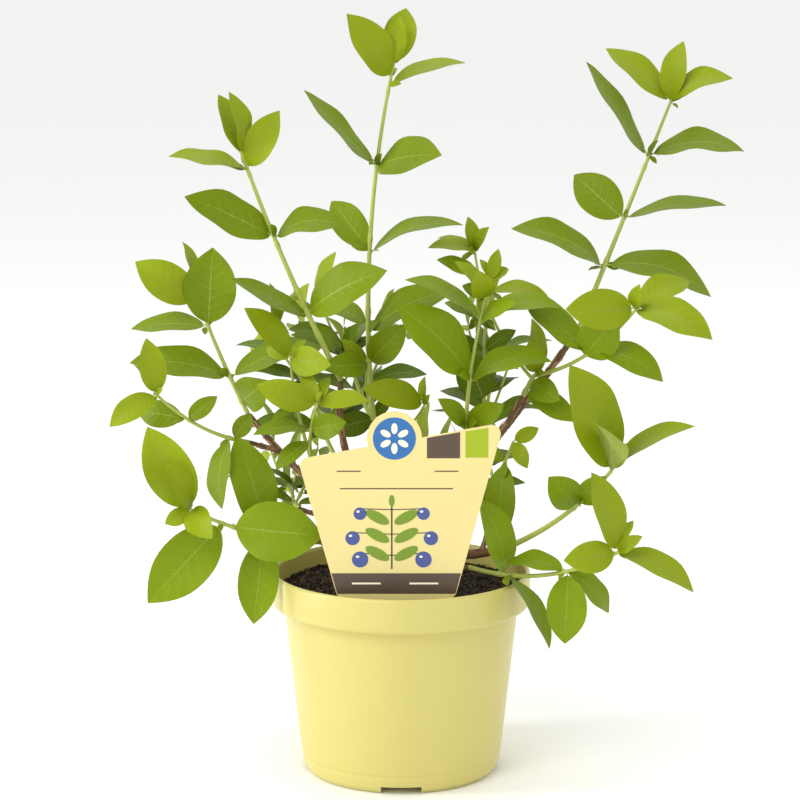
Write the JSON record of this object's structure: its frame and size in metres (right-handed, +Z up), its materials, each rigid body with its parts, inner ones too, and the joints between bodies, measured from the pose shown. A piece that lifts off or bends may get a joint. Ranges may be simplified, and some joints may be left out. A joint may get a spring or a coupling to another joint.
{
  "type": "potted honeyberry",
  "caption": "Young honeyberry bush with upright leafy shoots, growing in a round plastic nursery pot filled with compost, with a plant label on a stake.",
  "frame": {"origin": "centre of the pot's flat underside, where the pot stands", "axes": "+Z up, +X to the right of the labelled front, +Y away from the labelled front"},
  "size_m": [0.3129, 0.203, 0.3813],
  "materials": {
    "pot": "satin moulded polypropylene",
    "compost": "loose and matte",
    "plant_label": "printed satin card",
    "bark": "peeling matte bark",
    "foliage": "soft satin leaf"
  },
  "bodies": {
    "root": {"pot": "pot", "compost": "compost", "plant_label": "plant_label", "trunk": "bark", "bough_centre": "bark", "bough_left": "bark", "bough_right": "bark", "bough_low_right": "bark", "bough_bottom_right": "bark", "bough_low_left": "bark", "bough_upper_left": "bark", "bough_back_left": "bark", "bough_back_right": "bark", "bough_mid_left": "bark", "bough_inner_left": "bark", "bough_middle": "bark", "bough_inner_right": "bark", "bough_inner_back": "bark", "bough_mid_right": "bark", "bough_small_right": "bark", "bough_back_top": "bark", "bough_back_low_left": "bark", "bough_back_low_right": "bark", "tall_centre": "foliage", "tall_left": "foliage", "tall_right": "foliage", "mid_right": "foliage", "low_right": "foliage", "bottom_right": "foliage", "low_left": "foliage", "mid_left": "foliage", "upper_left": "foliage", "inner_left": "foliage", "middle": "foliage", "inner_right": "foliage", "inner_back": "foliage", "small_right": "foliage", "back_left": "foliage", "back_right": "foliage", "back_top": "foliage", "back_low_left": "foliage", "back_low_right": "foliage"}
  },
  "joints": []
}
